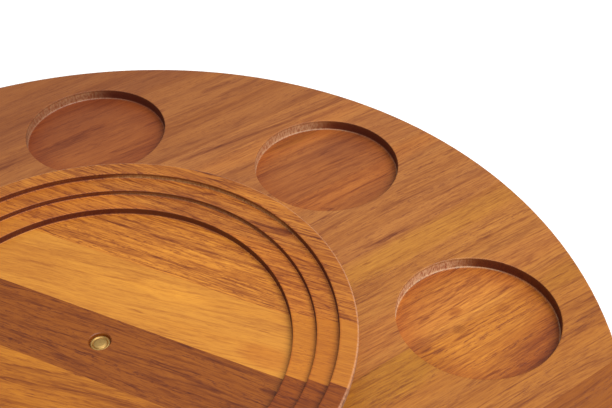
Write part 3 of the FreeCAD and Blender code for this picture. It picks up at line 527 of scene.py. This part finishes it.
def plain(name, colour, metallic=0.0, rough=0.4, wear=0.1, size=3.0, bump=0.00002, ring=False, **sockets):
    """A metal or plastic with a fine uneven surface, or with turning marks round the Z axis."""
    mat = bpy.data.materials.new(name)
    mat.use_nodes = True
    g = Graph(mat.node_tree)
    shader = mat.node_tree.nodes["Principled BSDF"]
    place = g.node("ShaderNodeTexCoord")
    scale = g.node("ShaderNodeVectorMath", operation="SCALE")
    g.put(scale.inputs[0], place.outputs["Object"])
    scale.inputs["Scale"].default_value = 1000.0
    x, y, z = g.split(scale.outputs[0])
    blot = g.noise(g.vector(x / size, y / size, z / size), 3.0, 0.6)
    if ring:
        radius = (x * x + y * y).sqrt()
        lines = g.noise(g.vector(radius * 7.0, z * 7.0, blot), 2.0, 0.6)
    else:
        lines = g.noise(g.vector(x * 2.2, y * 2.2, z * 2.2), 2.0, 0.6)
    low = tuple(c * 0.72 for c in linear(*colour))
    g.put(shader.inputs["Base Color"], g.mix(g.step(blot, 0.3, 0.75), linear(*colour), low))
    g.put(shader.inputs["Roughness"], (rough + (blot - 0.5) * wear * 2.0 + (lines - 0.5) * 0.08).clamp())
    shader.inputs["Metallic"].default_value = metallic
    b = g.node("ShaderNodeBump")
    b.inputs["Strength"].default_value = 0.4
    b.inputs["Distance"].default_value = bump
    g.put(b.inputs["Height"], lines)
    g.put(shader.inputs["Normal"], b.outputs[0])
    for key, value in sockets.items():
        shader.inputs[key].default_value = value
    return mat


brass = plain("brass", (212, 172, 104), 1.0, 0.56, 0.10, 2.0, 0.00001, ring=True)
zinc = plain("zinc_steel", (190, 194, 198), 1.0, 0.36, 0.12, 6.0, 0.00001)
ball = plain("ball_steel", (204, 206, 210), 1.0, 0.14, 0.04, 2.0, 0.000002)
nylon = plain("white_nylon", (226, 222, 210), 0.0, 0.42, 0.06, 4.0, 0.00001)
rubber = plain("black_rubber", (30, 30, 31), 0.0, 0.68, 0.10, 3.0, 0.00004)
for name in ("platter_bushing", "pivot_pin"):
    dress(name, brass)
for name in ("swivel_lower_plate", "swivel_upper_plate", "swivel_lower_screws", "swivel_upper_screws",
             "foot_screws", "pin_washer", "pin_nut"):
    dress(name, zinc)
dress("bearing_balls", ball)
dress("bearing_cage", nylon)
dress("thrust_washer", brass)
dress("foot_bumpers", rubber)

# ---------------------------------------------------------- floor and lights

floor_mesh = bpy.data.meshes.new("floor")
floor_mesh.from_pydata([(-9, -9, 0), (9, -9, 0), (9, 9, 0), (-9, 9, 0)], [], [(0, 1, 2, 3)])
floor = bpy.data.objects.new("floor", floor_mesh)
bpy.context.scene.collection.objects.link(floor)
paper = bpy.data.materials.new("studio_paper")
paper.use_nodes = True
paper_shader = paper.node_tree.nodes["Principled BSDF"]
paper_shader.inputs["Base Color"].default_value = (0.93, 0.93, 0.93, 1)
paper_shader.inputs["Roughness"].default_value = 0.9
paper_shader.inputs["Emission Color"].default_value = (1, 1, 1, 1)
paper_shader.inputs["Emission Strength"].default_value = 0.25
floor_mesh.materials.append(paper)


def lamp(name, azimuth, height, distance, wide, tall, power, colour=(1, 1, 1), aim=(0, 0, 0.05)):
    """A soft box: azimuth in the XY plane, height above the horizon, both in degrees."""
    data = bpy.data.lights.new(name, "AREA")
    data.shape = "RECTANGLE"
    data.size, data.size_y = wide, tall
    data.energy = power
    data.color = colour
    obj = bpy.data.objects.new(name, data)
    bpy.context.scene.collection.objects.link(obj)
    a, h = math.radians(azimuth), math.radians(height)
    away = Vector((math.cos(a) * math.cos(h), math.sin(a) * math.cos(h), math.sin(h)))
    side = Vector((-math.sin(a), math.cos(a), 0))
    axes = Matrix((side, away.cross(side), away)).transposed().to_4x4()
    obj.matrix_world = Matrix.Translation(Vector(aim) + away * distance) @ axes
    return obj


lamp("key", -130, 54, 1.7, 2.0, 1.2, 34.5)
lamp("top", 0, 90, 2.4, 2.4, 2.4, 16)
world = bpy.data.worlds.new("studio")
world.use_nodes = True
world.node_tree.nodes["Background"].inputs[0].default_value = (1, 1, 1, 1)
world.node_tree.nodes["Background"].inputs[1].default_value = 0.30
bpy.context.scene.world = world
bpy.context.scene.view_settings.view_transform = "Standard"
bpy.context.scene.view_settings.look = "None"

# ------------------------------------------------------------------- camera

camera_data = bpy.data.cameras.new("camera")
camera_data.sensor_width = 36.0
camera_data.lens = 67.4235
camera_data.clip_start, camera_data.clip_end = 0.01, 40.0
camera = bpy.data.objects.new("camera", camera_data)
bpy.context.scene.collection.objects.link(camera)
right = Vector((-0.156735, -0.987627, -0.005219))
up = Vector((0.645677, -0.106464, 0.756152))
back = Vector((-0.747352, 0.115145, 0.654375))
turn = Matrix((right, up, back)).transposed().to_4x4()
camera.matrix_world = Matrix.Translation((-0.350424, -0.037815, 0.433712)) @ turn
bpy.context.scene.camera = camera
